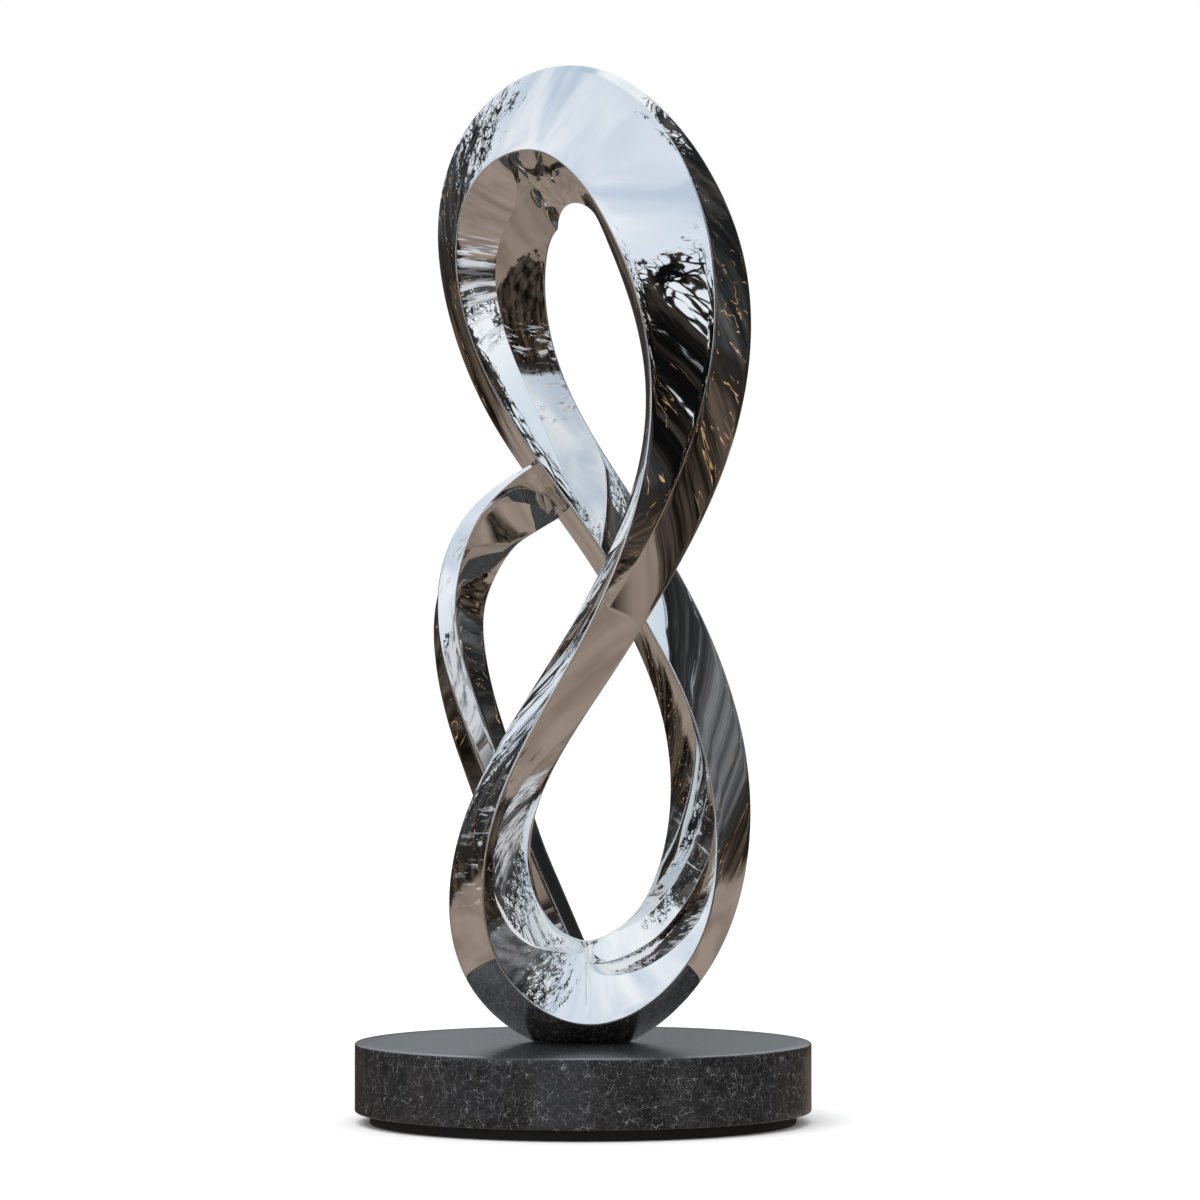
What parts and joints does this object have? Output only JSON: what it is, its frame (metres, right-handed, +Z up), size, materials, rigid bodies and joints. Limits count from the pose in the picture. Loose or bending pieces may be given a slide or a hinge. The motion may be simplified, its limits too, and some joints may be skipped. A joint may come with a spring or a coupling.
{
  "type": "abstract metal sculpture on a round stone plinth",
  "caption": "Tall abstract sculpture: a mirror-polished steel band twisted into a figure of eight with a thinner side loop, standing on a round honed stone plinth.",
  "frame": {"origin": "middle of the plinth's underside, on the ground", "axes": "+Z up, -Y towards the front the picture shows, +X to the right seen from the front"},
  "size_m": [1, 1, 2.3269],
  "materials": {
    "mirror_steel": "mirror-polished stainless steel",
    "honed_stone": "honed dark stone with fine pale flecks",
    "black_foot": "matt black"
  },
  "bodies": {
    "root": {"ribbon_sculpture": "mirror_steel", "stone_disc": "honed_stone", "recessed_foot": "black_foot"}
  },
  "joints": []
}
